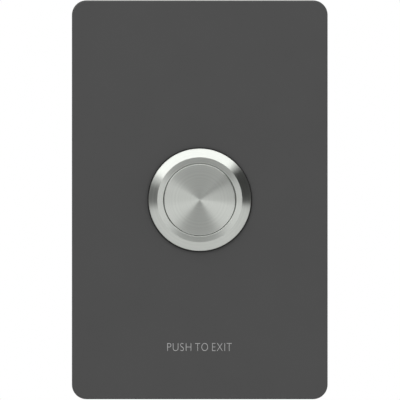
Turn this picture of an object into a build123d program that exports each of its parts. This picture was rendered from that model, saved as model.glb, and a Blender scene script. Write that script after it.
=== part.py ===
"""Door exit button: a flush wall plate with a round metal push button in its middle.

A moulded cover plate snaps over a mounting frame, which two screws hold to a wall box. The button is a
switch of its own, clamped to the cover by a thread and a nut: a turned housing with a chamfered bezel, a
cap that slides in its bore, a plunger, a return spring and one normally open contact with screw terminals.

Everything is in millimetres. X runs across the plate, Z is up, and the front faces -Y. The origin is on the
wall plane, on the button's axis. Each height below is measured from the wall plane towards the room, so a
negative height lies inside the wall box.
"""

import os
from math import cos, radians

from build123d import *

# Cover plate
plate_width = 75.0
plate_height = 117.0
plate_corner_radius = 4.3
plate_depth = 6.0
plate_face_wall = 2.0
skirt_wall = 1.8
skirt_wall_gap = 0.3
plate_edge_radius = 0.6
snap_ridge_length = 9.0
snap_ridge_reach = 0.7
snap_ridge_height = 1.4
snap_ridge_level = 1.9
snap_pitch_side = 66.0
snap_pitch_end = 40.0
pry_notch_width = 7.0
pry_notch_height = 1.3

# Mounting frame
frame_side_clearance = 0.25
frame_front_clearance = 0.1
frame_sheet = 1.5
frame_rib = 1.3
frame_rib_setback = 0.4
frame_rib_pitch_across = 15.0
frame_ribs_between_screws = 6
window_width = 44.0
window_height = 54.0
window_corner_radius = 7.0
snap_pocket_clearance = 0.3

# Screws that hold the frame to the wall box
screw_pitch = 84.0
screw_diameter = 3.5
screw_neck_diameter = 3.1
screw_length = 25.0
screw_point = 0.8
screw_head_diameter = 6.8
screw_head_height = 2.1
screw_hole_clearance = 0.35
screw_head_clearance = 0.5
screw_head_setback = 0.4
screw_boss_wall = 1.7
recess_width = 1.0
recess_span = 3.8
recess_depth = 1.3
recess_draft_angle = 8.0

# Bezel and housing, one turned piece
barrel_diameter = 25.0
bezel_overhang = 2.5
bezel_chamfer_width = 2.6
bezel_land = 1.8
bezel_thickness = 2.2
bezel_rim = 0.5
bezel_mouth_chamfer = 0.15
barrel_rear_lip = 0.8
barrel_end_chamfer = 0.6
thread_relief_depth = 0.5
thread_relief_length = 1.0
cap_bore_depth = 8.2
web_thickness = 2.5
spring_collar_wall = 1.45
spring_collar_height = 1.2
cavity_wall = 1.6
keyway_width = 2.4

# Gasket, washer and nut that clamp the housing to the cover
gasket_thickness = 0.5
gasket_overhang = 0.3
panel_hole_clearance = 0.1
washer_thickness = 0.8
washer_tooth_count = 12
washer_tooth_width = 2.4
washer_tooth_reach = 1.4
washer_ring_width = 1.6
nut_wall = 2.0
nut_thickness = 3.0
nut_bore_chamfer = 0.4
thread_clearance = 0.05

# Cap and plunger
cap_clearance = 0.1
cap_edge_radius = 0.3
cap_wall = 0.9
cap_face_wall = 1.2
press_travel = 2.5
stop_clearance = 0.2
plunger_head_thickness = 1.6
plunger_head_clearance = 0.1
plunger_collar_height = 0.9
stem_diameter = 7.9
stem_clearance = 0.05
lower_stem_diameter = 2.8
stem_land = 1.75
barb_reach = 0.7
barb_height = 0.9

# Seal and clip on the plunger
seal_section = 1.3
seal_clearance = 0.03
seal_groove_slack = 0.1
clip_thickness = 0.7
clip_groove_depth = 0.75
clip_reach = 1.85
clip_ring_width = 1.3
clip_grip = 0.1
clip_lug_width = 2.4
clip_lug_angle = 115.0
clip_play = 0.05

# Return spring and contact spring
return_wire = 0.5
return_open_turns = 2
return_spring_clearance = 0.35
contact_wire = 0.35
contact_open_turns = 4
contact_spring_clearance = 0.725
contact_spring_length = 3.9
spring_seat_gap = 0.02
closed_coil_gap = 0.01

# Contacts
contact_gap = 1.5
contact_touch_gap = 0.05
bridge_end_clearance = 1.3
bridge_width = 5.0
bridge_thickness = 0.6
tip_diameter = 2.6
tip_height = 0.5
rivet_shank_diameter = 1.4
rivet_tail_diameter = 2.0
rivet_tail_height = 0.25
bridge_hole_clearance = 0.2

# Terminals
strip_thickness = 0.8
strip_width = 5.0
strip_side_clearance = 0.7
strip_well_gap = 0.7
strip_barrier_gap = 1.5
strip_slot_clearance = 0.1
terminal_screw_diameter = 3.0
terminal_screw_clearance = 0.03
terminal_screw_length = 4.2
terminal_head_diameter = 5.4
terminal_head_height = 1.8
terminal_slot_width = 0.8
terminal_slot_depth = 0.9
clamp_length = 5.0
clamp_lip = 0.6
clamp_lip_clearance = 0.15
clamp_thickness = 0.8
clamp_hole_clearance = 0.15

# Moulded base that carries the terminals
base_clearance = 0.1
base_wall = 1.5
base_floor_thickness = 6.85
base_spigot_height = 1.2
base_spigot_clearance = 0.4
base_rim_chamfer = 0.4
barrier_thickness = 1.8
barrier_height = 4.0
barrier_width = 17.0
guide_rib_reach = 2.6
guide_rib_thickness = 1.2
guide_rib_rise = 1.0
guide_rib_clearance = 0.3
barb_well_depth = 1.0
barb_well_clearance = 0.6
screw_relief_depth = 4.2
screw_relief_clearance = 0.3
key_length = 5.0
key_clearance = 0.15
ring_wire = 0.8
ring_gap_angle = 34.0
ring_clearance = 0.05

# Heights and radii that follow from the sizes above
cover_back = plate_depth - plate_face_wall
frame_front = cover_back - frame_front_clearance
frame_width = plate_width - 2 * (skirt_wall + frame_side_clearance)
frame_height = plate_height - 2 * (skirt_wall + frame_side_clearance)
frame_corner_radius = plate_corner_radius - skirt_wall - frame_side_clearance
screw_seat_height = frame_front - screw_head_setback - screw_head_height
bezel_seat = plate_depth + gasket_thickness
bezel_top = bezel_seat + bezel_thickness
bezel_diameter = barrel_diameter + 2 * bezel_overhang
bezel_face_diameter = bezel_diameter - 2 * bezel_chamfer_width
cap_bore_diameter = bezel_face_diameter - 2 * bezel_land
nut_across_flats = barrel_diameter + 2 * nut_wall
web_top = bezel_top - cap_bore_depth
web_bottom = web_top - web_thickness
cavity_radius = barrel_diameter / 2 - cavity_wall
guide_radius = stem_diameter / 2 + stem_clearance
spring_collar_diameter = stem_diameter + 2 * spring_collar_wall
return_mean_diameter = spring_collar_diameter + 2 * return_spring_clearance + return_wire
contact_mean_diameter = lower_stem_diameter + 2 * contact_spring_clearance + contact_wire
barb_diameter = lower_stem_diameter + 2 * barb_reach
cap_radius = cap_bore_diameter / 2 - cap_clearance
cap_inside = bezel_top - cap_face_wall
cap_skirt_end = web_top + press_travel + stop_clearance
plunger_head_base = cap_inside - plunger_head_thickness
clip_front = web_bottom - clip_play
clip_outer_diameter = stem_diameter + 2 * clip_reach
stem_shoulder = clip_front - clip_thickness - stem_land
bridge_top = stem_shoulder - contact_spring_length
bridge_bottom = bridge_top - bridge_thickness
fixed_tip_top = bridge_bottom - tip_height - contact_gap - contact_touch_gap
base_floor = fixed_tip_top - tip_height - strip_thickness
base_radius = cavity_radius - base_clearance
chamber_radius = base_radius - base_wall
base_rear = base_floor - base_floor_thickness
base_shoulder = base_rear + base_spigot_height
base_spigot_radius = cavity_radius - ring_wire - base_spigot_clearance
key_front = base_shoulder + key_length
barrel_rear = base_rear - barrel_rear_lip
bridge_length = 2 * (chamber_radius - bridge_end_clearance)
barb_well_radius = barb_diameter / 2 + barb_well_clearance
strip_outer_x = chamber_radius - strip_side_clearance
strip_inner_end_x = barb_well_radius + strip_well_gap
strip_rear_end_x = barrier_thickness / 2 + strip_barrier_gap
tip_pitch = strip_inner_end_x + strip_outer_x
terminal_pitch = strip_rear_end_x + strip_outer_x
strip_rear = base_rear - strip_thickness
clamp_rear = strip_rear - clamp_thickness
panel_hole_radius = barrel_diameter / 2 + panel_hole_clearance

# The room side of the wall plane, and a half section whose second axis is the height
WALL = Plane.XZ
SECTION = Plane(origin=(0, 0, 0), x_dir=(1, 0, 0), z_dir=(0, 0, -1))
BUTTON_AXIS = Axis.Y


def room(height):
    """The plane parallel to the wall at this height, facing the room."""
    return WALL.offset(height)


def wall_side(height):
    """The plane parallel to the wall at this height, facing into the wall."""
    return Plane(origin=(0, -height, 0), x_dir=(1, 0, 0), z_dir=(0, 1, 0))


def save(builder, name):
    """Labels a finished piece and writes it as parts/name.step."""
    builder.part.label = name
    export_step(builder.part, f"parts/{name}.step")
    print(name, "solids", len(builder.part.solids()), "volume", round(builder.part.volume, 1))


os.makedirs("parts", exist_ok=True)

# Cover plate: an open moulded tray with the button's hole, snap ridges on its skirt and a pry notch
with BuildPart() as cover_plate:
    with BuildSketch(room(skirt_wall_gap)):
        RectangleRounded(plate_width, plate_height, plate_corner_radius)
    extrude(amount=plate_depth - skirt_wall_gap)
    fillet(cover_plate.faces().sort_by(Axis.Y)[0].edges(), plate_edge_radius)
    with BuildSketch(room(skirt_wall_gap)):
        RectangleRounded(
            plate_width - 2 * skirt_wall, plate_height - 2 * skirt_wall, plate_corner_radius - skirt_wall
        )
    extrude(amount=cover_back - skirt_wall_gap, mode=Mode.SUBTRACT)
    with BuildSketch(room(cover_back)):
        Circle(panel_hole_radius)
    extrude(amount=plate_face_wall, mode=Mode.SUBTRACT)
    skirt_inner_x = plate_width / 2 - skirt_wall
    skirt_inner_z = plate_height / 2 - skirt_wall
    ridge_low = snap_ridge_level - snap_ridge_height / 2
    ridge_high = snap_ridge_level + snap_ridge_height / 2
    for level in (-snap_pitch_side / 2, snap_pitch_side / 2):
        with BuildSketch(Plane.XY.offset(level - snap_ridge_length / 2)) as side_ridge:
            with BuildLine():
                Polyline(
                    (skirt_inner_x, -ridge_low),
                    (skirt_inner_x - snap_ridge_reach, -snap_ridge_level),
                    (skirt_inner_x, -ridge_high),
                    close=True,
                )
            make_face()
            mirror(about=Plane.YZ)
        extrude(amount=snap_ridge_length)
    for side in (-snap_pitch_end / 2, snap_pitch_end / 2):
        with BuildSketch(Plane.YZ.offset(side - snap_ridge_length / 2)) as end_ridge:
            with BuildLine():
                Polyline(
                    (-ridge_low, skirt_inner_z),
                    (-snap_ridge_level, skirt_inner_z - snap_ridge_reach),
                    (-ridge_high, skirt_inner_z),
                    close=True,
                )
            make_face()
            mirror(about=Plane.XZ)
        extrude(amount=snap_ridge_length)
    with BuildSketch(Plane.XY.offset(-plate_height / 2)):
        with Locations((0, -(skirt_wall_gap + pry_notch_height / 2))):
            Rectangle(pry_notch_width, pry_notch_height)
    extrude(amount=skirt_wall, mode=Mode.SUBTRACT)
save(cover_plate, "cover_plate")

# Mounting frame: a ribbed moulding, smooth towards the cover and open towards the wall
boss_radius = screw_head_diameter / 2 + screw_head_clearance + screw_boss_wall
with BuildPart() as mounting_frame:
    with BuildSketch(room(frame_front)):
        RectangleRounded(frame_width, frame_height, frame_corner_radius)
    extrude(amount=-frame_sheet)
    with BuildSketch(WALL):
        RectangleRounded(frame_width, frame_height, frame_corner_radius)
        RectangleRounded(
            frame_width - 2 * frame_rib,
            frame_height - 2 * frame_rib,
            frame_corner_radius - frame_rib,
            mode=Mode.SUBTRACT,
        )
    extrude(amount=frame_front)
    with BuildSketch(room(frame_rib_setback)):
        columns = 2 * int((frame_width / 2 - frame_rib) / frame_rib_pitch_across) + 1
        with GridLocations(frame_rib_pitch_across, 0, columns, 1):
            Rectangle(frame_rib, frame_height - frame_rib)
        frame_rib_pitch_up = screw_pitch / frame_ribs_between_screws
        with GridLocations(0, frame_rib_pitch_up, 1, frame_ribs_between_screws + 1):
            Rectangle(frame_width - frame_rib, frame_rib)
    extrude(amount=frame_front - frame_rib_setback - frame_sheet / 2)
    with BuildSketch(WALL):
        RectangleRounded(
            window_width + 2 * frame_rib, window_height + 2 * frame_rib, window_corner_radius + frame_rib
        )
        with GridLocations(0, screw_pitch, 1, 2):
            Circle(boss_radius)
    extrude(amount=frame_front)
    with BuildSketch(WALL):
        RectangleRounded(window_width, window_height, window_corner_radius)
    extrude(amount=frame_front, mode=Mode.SUBTRACT)
    with Locations(room(frame_front)):
        with GridLocations(0, screw_pitch, 1, 2):
            CounterBoreHole(
                screw_diameter / 2 + screw_hole_clearance,
                screw_head_diameter / 2 + screw_head_clearance,
                frame_front - screw_seat_height,
            )
    pocket_length = snap_ridge_length + 2 * snap_pocket_clearance
    pocket_height = snap_ridge_height + 2 * snap_pocket_clearance
    with BuildSketch(Plane.XZ.offset(snap_ridge_level - pocket_height / 2)):
        with GridLocations(frame_width, snap_pitch_side, 2, 2):
            Rectangle(2 * snap_ridge_reach, pocket_length)
        with GridLocations(snap_pitch_end, frame_height, 2, 2):
            Rectangle(pocket_length, 2 * snap_ridge_reach)
    extrude(amount=pocket_height, mode=Mode.SUBTRACT)
save(mounting_frame, "mounting_frame")

# Two pan head screws, with a plain neck through the frame and cross recesses facing the room
with BuildPart() as mounting_screws:
    with BuildSketch(room(screw_seat_height)):
        with GridLocations(0, screw_pitch, 1, 2):
            Circle(screw_head_diameter / 2)
    extrude(amount=screw_head_height)
    crowns = mounting_screws.edges().filter_by(GeomType.CIRCLE).group_by(Axis.Y)[0]
    fillet(crowns, screw_head_height * 0.6)
    with BuildSketch(WALL):
        with GridLocations(0, screw_pitch, 1, 2):
            Circle(screw_neck_diameter / 2)
    extrude(amount=screw_seat_height)
    with BuildSketch(WALL):
        with GridLocations(0, screw_pitch, 1, 2):
            Circle(screw_diameter / 2)
    extrude(amount=screw_seat_height - screw_length)
    points = mounting_screws.edges().filter_by(GeomType.CIRCLE).group_by(Axis.Y)[-1]
    chamfer(points, screw_point)
    with BuildSketch(room(screw_seat_height + screw_head_height)):
        with GridLocations(0, screw_pitch, 1, 2):
            Rectangle(recess_span, recess_width)
            Rectangle(recess_width, recess_span)
    extrude(amount=-recess_depth, taper=recess_draft_angle, mode=Mode.SUBTRACT)
save(mounting_screws, "mounting_screws")

# Panel gasket: a flat rubber ring that shows as a thin dark line round the bezel
with BuildPart() as panel_gasket:
    with BuildSketch(room(plate_depth)):
        Circle(bezel_diameter / 2 + gasket_overhang)
        Circle(panel_hole_radius, mode=Mode.SUBTRACT)
    extrude(amount=gasket_thickness)
save(panel_gasket, "panel_gasket")

# Bezel housing: turned in one piece, with the cap's bore in front, a web with the stem's guide, and a
# rear cavity for the base
seal_groove_front = web_bottom + (web_thickness + seal_section) / 2 + seal_groove_slack / 2
seal_groove_rear = seal_groove_front - seal_section - seal_groove_slack
seal_ring_radius = stem_diameter / 2 + seal_clearance + seal_section / 2
seal_groove_radius = seal_ring_radius + seal_section / 2 + seal_clearance
ring_groove_radius = cavity_radius + ring_wire / 2
with BuildPart() as bezel_housing:
    with BuildSketch(SECTION) as housing_section:
        with BuildLine():
            Polyline(
                (guide_radius, web_top + spring_collar_height),
                (spring_collar_diameter / 2, web_top + spring_collar_height),
                (spring_collar_diameter / 2, web_top),
                (cap_bore_diameter / 2, web_top),
                (cap_bore_diameter / 2, bezel_top - bezel_mouth_chamfer),
                (cap_bore_diameter / 2 + bezel_mouth_chamfer, bezel_top),
                (bezel_face_diameter / 2, bezel_top),
                (bezel_diameter / 2, bezel_seat + bezel_rim),
                (bezel_diameter / 2, bezel_seat),
                (barrel_diameter / 2 - thread_relief_depth, bezel_seat),
                (barrel_diameter / 2 - thread_relief_depth, bezel_seat - thread_relief_length),
                (barrel_diameter / 2, bezel_seat - thread_relief_length - thread_relief_depth),
                (barrel_diameter / 2, barrel_rear + barrel_end_chamfer),
                (barrel_diameter / 2 - barrel_end_chamfer, barrel_rear),
                (cavity_radius, barrel_rear),
                (cavity_radius, base_shoulder - ring_wire - ring_clearance),
                (ring_groove_radius, base_shoulder - ring_wire - ring_clearance),
                (ring_groove_radius, base_shoulder),
                (cavity_radius, base_shoulder),
                (cavity_radius, web_bottom),
                (guide_radius, web_bottom),
                (guide_radius, seal_groove_rear),
                (seal_groove_radius, seal_groove_rear),
                (seal_groove_radius, seal_groove_front),
                (guide_radius, seal_groove_front),
                close=True,
            )
        make_face()
    revolve(axis=BUTTON_AXIS)
    with BuildSketch(Plane.YZ):
        with Locations((-(key_front + barrel_rear) / 2, 0)):
            Rectangle(key_front - barrel_rear, keyway_width)
    extrude(amount=barrel_diameter / 2, mode=Mode.SUBTRACT)
save(bezel_housing, "bezel_housing")

# Internal tooth lock washer between the cover and the nut
washer_bore_radius = panel_hole_radius + washer_tooth_reach
with BuildPart() as lock_washer:
    with BuildSketch(room(cover_back - washer_thickness)):
        Circle(washer_bore_radius + washer_ring_width)
        Circle(washer_bore_radius, mode=Mode.SUBTRACT)
        with PolarLocations(washer_bore_radius, washer_tooth_count):
            Rectangle(2 * washer_tooth_reach, washer_tooth_width)
        Circle(panel_hole_radius, mode=Mode.SUBTRACT)
    extrude(amount=washer_thickness)
save(lock_washer, "lock_washer")

# Thin hexagon nut with both faces chamfered
nut_front = cover_back - washer_thickness
nut_rear = nut_front - nut_thickness
nut_corner_radius = nut_across_flats / 2 / cos(radians(30))
nut_corner_drop = (nut_corner_radius - nut_across_flats / 2) / 2
with BuildPart() as lock_nut:
    with BuildSketch(room(nut_rear)):
        RegularPolygon(nut_corner_radius, 6)
    extrude(amount=nut_thickness)
    with BuildSketch(SECTION):
        with BuildLine():
            Polyline(
                (0, nut_rear),
                (nut_across_flats / 2, nut_rear),
                (nut_corner_radius, nut_rear + nut_corner_drop),
                (nut_corner_radius, nut_front - nut_corner_drop),
                (nut_across_flats / 2, nut_front),
                (0, nut_front),
                close=True,
            )
        make_face()
    revolve(axis=BUTTON_AXIS, mode=Mode.INTERSECT)
    with BuildSketch(room(nut_rear)):
        Circle(barrel_diameter / 2 + thread_clearance)
    extrude(amount=nut_thickness, mode=Mode.SUBTRACT)
    chamfer(lock_nut.edges().filter_by(GeomType.CIRCLE).sort_by(SortBy.RADIUS)[:2], nut_bore_chamfer)
save(lock_nut, "lock_nut")

# Push cap: a thin metal cup whose flat face has a rounded edge
with BuildPart() as push_cap:
    with BuildSketch(SECTION):
        with BuildLine():
            Polyline(
                (0, bezel_top),
                (cap_radius, bezel_top),
                (cap_radius, cap_skirt_end),
                (cap_radius - cap_wall, cap_skirt_end),
                (cap_radius - cap_wall, cap_inside),
                (0, cap_inside),
                close=True,
            )
        make_face()
    revolve(axis=BUTTON_AXIS)
    fillet(push_cap.edges().filter_by(GeomType.CIRCLE).sort_by(Axis.Y)[0], cap_edge_radius)
save(push_cap, "push_cap")

# Plunger: head inside the cap, guided stem, and a thin lower stem with a barb for the bridge
clip_groove_radius = stem_diameter / 2 - clip_groove_depth
barb_top = bridge_bottom - spring_seat_gap
with BuildPart() as plunger:
    with BuildSketch(SECTION):
        with BuildLine():
            Polyline(
                (0, cap_inside),
                (cap_radius - cap_wall - plunger_head_clearance, cap_inside),
                (cap_radius - cap_wall - plunger_head_clearance, plunger_head_base),
                (spring_collar_diameter / 2, plunger_head_base),
                (spring_collar_diameter / 2, plunger_head_base - plunger_collar_height),
                (stem_diameter / 2, plunger_head_base - plunger_collar_height),
                (stem_diameter / 2, clip_front),
                (clip_groove_radius, clip_front),
                (clip_groove_radius, clip_front - clip_thickness),
                (stem_diameter / 2, clip_front - clip_thickness),
                (stem_diameter / 2, stem_shoulder),
                (lower_stem_diameter / 2, stem_shoulder),
                (lower_stem_diameter / 2, barb_top),
                (barb_diameter / 2, barb_top),
                (lower_stem_diameter / 2, barb_top - barb_height),
                (0, barb_top - barb_height),
                close=True,
            )
        make_face()
    revolve(axis=BUTTON_AXIS)
save(plunger, "plunger")

# Stem seal: a rubber ring in the web's groove
with BuildPart() as stem_seal:
    with BuildSketch(SECTION):
        with Locations((seal_ring_radius, (seal_groove_front + seal_groove_rear) / 2)):
            Circle(seal_section / 2)
    revolve(axis=BUTTON_AXIS)
save(stem_seal, "stem_seal")

# Retaining clip: an open E shaped ring that stops the plunger under the web
clip_bore_radius = clip_outer_diameter / 2 - clip_ring_width
clip_opening = 2 * (clip_groove_radius - clip_grip)
clip_lug_length = 1.5 * (clip_bore_radius - clip_groove_radius)
with BuildPart() as retaining_clip:
    with BuildSketch(room(clip_front - clip_thickness)):
        Circle(clip_outer_diameter / 2)
        Circle(clip_bore_radius, mode=Mode.SUBTRACT)
        with Locations((0, -clip_outer_diameter / 2)):
            Rectangle(clip_opening, clip_outer_diameter, mode=Mode.SUBTRACT)
        lug_radius = clip_groove_radius + clip_lug_length / 2
        with PolarLocations(lug_radius, 3, 90 - clip_lug_angle, 2 * clip_lug_angle, endpoint=True):
            Rectangle(clip_lug_length, clip_lug_width)
        Circle(clip_groove_radius + clip_play, mode=Mode.SUBTRACT)
    extrude(amount=clip_thickness)
save(retaining_clip, "retaining_clip")


def make_spring(front, rear, mean_diameter, wire, open_turns):
    """The spring's solid: a round wire in an open helix of whole turns, with a closed coil at each end."""
    radius = mean_diameter / 2
    closed_lift = wire + closed_coil_gap
    open_lift = front - rear - wire - 2 * (spring_seat_gap + closed_lift)
    start = rear + wire / 2 + spring_seat_gap
    with BuildPart() as spring:
        with BuildLine() as line:
            level = start
            for turns, lift in ((1, closed_lift), (open_turns, open_lift), (1, closed_lift)):
                Helix(lift / turns, lift, radius, center=(0, -level, 0), direction=(0, -1, 0))
                level += lift
        path = line.wires()[0]
        with BuildSketch(Plane(origin=path @ 0, z_dir=path % 0)):
            Circle(wire / 2)
        sweep(path=path, is_frenet=True)
    return spring


# Return spring between the web and the plunger's head
return_spring = make_spring(
    plunger_head_base, web_top, return_mean_diameter, return_wire, return_open_turns
)
save(return_spring, "return_spring")

# Contact spring between the stem's shoulder and the bridge
contact_spring = make_spring(
    stem_shoulder, bridge_top, contact_mean_diameter, contact_wire, contact_open_turns
)
save(contact_spring, "contact_spring")

# Contact bridge: a flat bar that joins both fixed contacts when the cap is pressed
with BuildPart() as contact_bridge:
    with BuildSketch(room(bridge_bottom)):
        RectangleRounded(bridge_length, bridge_width, bridge_width * 0.3)
        Circle((lower_stem_diameter + bridge_hole_clearance) / 2, mode=Mode.SUBTRACT)
        with GridLocations(tip_pitch, 0, 2, 1):
            Circle(rivet_shank_diameter / 2, mode=Mode.SUBTRACT)
    extrude(amount=bridge_thickness)
save(contact_bridge, "contact_bridge")


def contact_rivets(face, away, strip):
    """Two silver rivets with their domed heads on this face, and their tails past the strip they hold."""
    with BuildPart() as rivets:
        for side in (-1, 1):
            centre = Plane(origin=(side * tip_pitch / 2, 0, 0), x_dir=(1, 0, 0), z_dir=(0, 0, -1))
            with BuildSketch(centre):
                with BuildLine():
                    head = face + away * tip_height
                    Polyline(
                        (0, head),
                        (tip_diameter * 0.3, head),
                        (tip_diameter / 2, face + away * tip_height * 0.5),
                        (tip_diameter / 2, face),
                        (rivet_shank_diameter / 2, face),
                        (rivet_shank_diameter / 2, face - away * strip),
                        (rivet_tail_diameter / 2, face - away * strip),
                        (rivet_tail_diameter / 2, face - away * (strip + rivet_tail_height)),
                        (0, face - away * (strip + rivet_tail_height)),
                        close=True,
                    )
                make_face()
            revolve(axis=Axis((side * tip_pitch / 2, 0, 0), (0, 1, 0)))
    return rivets


# Silver tips riveted to the bridge, and to the two fixed strips
bridge_tips = contact_rivets(bridge_bottom, -1, bridge_thickness)
save(bridge_tips, "bridge_tips")
fixed_tips = contact_rivets(base_floor + strip_thickness, 1, strip_thickness)
save(fixed_tips, "fixed_tips")


def make_terminal(side):
    """A folded brass strip: a leg on the base's floor, a leg through it and the screw's leg behind it."""
    floor_top = base_floor + strip_thickness
    strip_slot_x = strip_outer_x - strip_thickness
    with BuildPart() as strip:
        with BuildSketch(SECTION):
            with BuildLine():
                Polyline(
                    (side * strip_inner_end_x, floor_top),
                    (side * strip_outer_x, floor_top),
                    (side * strip_outer_x, strip_rear),
                    (side * strip_rear_end_x, strip_rear),
                    (side * strip_rear_end_x, base_rear),
                    (side * strip_slot_x, base_rear),
                    (side * strip_slot_x, base_floor),
                    (side * strip_inner_end_x, base_floor),
                    close=True,
                )
            make_face()
        extrude(amount=strip_width / 2, both=True)
        folds = strip.edges().filter_by(Axis.Z).group_by(Axis.X)[-1 if side > 0 else 0]
        fillet(folds, strip_thickness)
        with BuildSketch(room(base_floor)):
            with Locations((side * tip_pitch / 2, 0)):
                Circle(rivet_shank_diameter / 2)
        extrude(amount=strip_thickness, mode=Mode.SUBTRACT)
        with BuildSketch(room(strip_rear)):
            with Locations((side * terminal_pitch / 2, 0)):
                Circle(terminal_screw_diameter / 2)
        extrude(amount=strip_thickness, mode=Mode.SUBTRACT)
    return strip


# Left and right terminal strips
left_terminal = make_terminal(-1)
save(left_terminal, "left_terminal")
right_terminal = make_terminal(1)
save(right_terminal, "right_terminal")

# Wire clamps: square plates whose lips straddle the strips
clamp_inner_width = strip_width + 2 * clamp_lip_clearance
with BuildPart() as wire_clamps:
    with BuildSketch(room(clamp_rear)):
        with GridLocations(terminal_pitch, 0, 2, 1):
            Rectangle(clamp_length, clamp_inner_width + 2 * clamp_lip)
    extrude(amount=clamp_thickness + clamp_lip)
    with BuildSketch(room(strip_rear)):
        with GridLocations(terminal_pitch, 0, 2, 1):
            Rectangle(clamp_length, clamp_inner_width)
    extrude(amount=clamp_lip, mode=Mode.SUBTRACT)
    with BuildSketch(room(clamp_rear)):
        with GridLocations(terminal_pitch, 0, 2, 1):
            Circle(terminal_screw_diameter / 2 + clamp_hole_clearance)
    extrude(amount=clamp_thickness, mode=Mode.SUBTRACT)
save(wire_clamps, "wire_clamps")

# Terminal screws: slotted cheese heads on the wall side
with BuildPart() as terminal_screws:
    with BuildSketch(wall_side(clamp_rear)):
        with GridLocations(terminal_pitch, 0, 2, 1):
            Circle(terminal_head_diameter / 2)
    extrude(amount=terminal_head_height)
    brims = terminal_screws.edges().filter_by(GeomType.CIRCLE).group_by(Axis.Y)[-1]
    fillet(brims, terminal_head_height * 0.25)
    with BuildSketch(room(clamp_rear)):
        with GridLocations(terminal_pitch, 0, 2, 1):
            Circle(terminal_screw_diameter / 2 - terminal_screw_clearance)
    extrude(amount=terminal_screw_length)
    with BuildSketch(wall_side(clamp_rear - terminal_head_height)):
        with GridLocations(terminal_pitch, 0, 2, 1):
            Rectangle(terminal_slot_width, terminal_head_diameter)
    extrude(amount=-terminal_slot_depth, mode=Mode.SUBTRACT)
save(terminal_screws, "terminal_screws")

# Terminal base: a moulded cup with the contact chamber in front and the screw terminals behind
with BuildPart() as terminal_base:
    with BuildSketch(SECTION):
        with BuildLine():
            Polyline(
                (0, base_rear),
                (base_spigot_radius, base_rear),
                (base_spigot_radius, base_shoulder),
                (base_radius, base_shoulder),
                (base_radius, web_bottom - base_rim_chamfer),
                (base_radius - base_rim_chamfer, web_bottom),
                (chamber_radius, web_bottom),
                (chamber_radius, base_floor),
                (barb_well_radius, base_floor),
                (barb_well_radius, base_floor - barb_well_depth),
                (0, base_floor - barb_well_depth),
                close=True,
            )
        make_face()
    revolve(axis=BUTTON_AXIS)
    with BuildSketch(room(base_floor)):
        rib_x = chamber_radius - guide_rib_reach / 2
        rib_pitch = strip_width + 2 * guide_rib_clearance + guide_rib_thickness
        with GridLocations(2 * rib_x, rib_pitch, 2, 2):
            Rectangle(guide_rib_reach, guide_rib_thickness)
    extrude(amount=bridge_top + guide_rib_rise - base_floor)
    with BuildSketch(wall_side(base_rear)):
        Rectangle(barrier_thickness, barrier_width)
    extrude(amount=barrier_height)
    with BuildSketch(Plane.YZ.offset(base_radius - base_clearance)):
        with Locations((-(key_front + base_shoulder) / 2, 0)):
            Rectangle(key_front - base_shoulder, keyway_width - 2 * key_clearance)
    extrude(amount=barrel_diameter / 2 - base_radius - base_clearance)
    slot_x = strip_outer_x - strip_thickness / 2
    with BuildSketch(room(base_rear)):
        with GridLocations(2 * slot_x, 0, 2, 1):
            Rectangle(strip_thickness + 2 * strip_slot_clearance, strip_width + 2 * strip_slot_clearance)
    extrude(amount=base_floor - base_rear, mode=Mode.SUBTRACT)
    with BuildSketch(room(base_rear)):
        with GridLocations(terminal_pitch, 0, 2, 1):
            Circle(terminal_screw_diameter / 2 + screw_relief_clearance)
    extrude(amount=screw_relief_depth, mode=Mode.SUBTRACT)
    with BuildSketch(room(base_floor)):
        with GridLocations(tip_pitch, 0, 2, 1):
            Circle(rivet_tail_diameter / 2 + base_clearance)
    extrude(amount=-(rivet_tail_height + base_clearance), mode=Mode.SUBTRACT)
save(terminal_base, "terminal_base")

# Retaining ring: round spring wire in the housing's rear groove, behind the base's shoulder
with BuildPart() as base_ring:
    with BuildSketch(SECTION):
        with Locations((-(cavity_radius - ring_clearance), base_shoulder - ring_wire / 2)):
            Circle(ring_wire / 2)
    revolve(axis=BUTTON_AXIS, revolution_arc=360 - ring_gap_angle)
save(base_ring, "base_ring")
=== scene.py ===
"""The looks of a door exit button: a dark grey wall plate with a turned stainless push button.

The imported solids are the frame. The pieces whose finest form isn't in the solids are modelled here: the
threaded housing, the cap, the wall screws, the coil springs and the printed legend. Every other piece keeps
its solid and gets its finish here. The scene is in metres, and most sizes below are in millimetres. Heights
are measured from the wall plane towards the room, which is -Y.
"""

import logging
import math
from dataclasses import dataclass
from enum import Enum
from typing import Any, Iterable, Sequence

import bmesh
import bpy
from mathutils import Matrix, Vector


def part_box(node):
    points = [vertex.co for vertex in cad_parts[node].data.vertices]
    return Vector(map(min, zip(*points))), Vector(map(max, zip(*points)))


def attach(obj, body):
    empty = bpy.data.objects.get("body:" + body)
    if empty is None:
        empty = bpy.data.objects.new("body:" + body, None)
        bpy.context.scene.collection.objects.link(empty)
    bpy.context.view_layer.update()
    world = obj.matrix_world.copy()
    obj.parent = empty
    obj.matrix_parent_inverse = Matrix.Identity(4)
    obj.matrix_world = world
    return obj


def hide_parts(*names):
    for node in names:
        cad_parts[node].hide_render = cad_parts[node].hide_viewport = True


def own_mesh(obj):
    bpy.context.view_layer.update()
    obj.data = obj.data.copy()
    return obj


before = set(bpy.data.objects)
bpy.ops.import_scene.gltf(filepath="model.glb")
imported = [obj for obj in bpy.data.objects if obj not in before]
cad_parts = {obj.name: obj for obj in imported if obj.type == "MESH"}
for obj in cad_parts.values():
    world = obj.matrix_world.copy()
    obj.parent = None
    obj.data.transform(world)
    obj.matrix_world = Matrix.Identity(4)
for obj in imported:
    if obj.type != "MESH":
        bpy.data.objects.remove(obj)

Tree = bpy.types.NodeTree
Node = bpy.types.Node
Socket = bpy.types.NodeSocket
Shape = bmesh.types.BMesh
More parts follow.
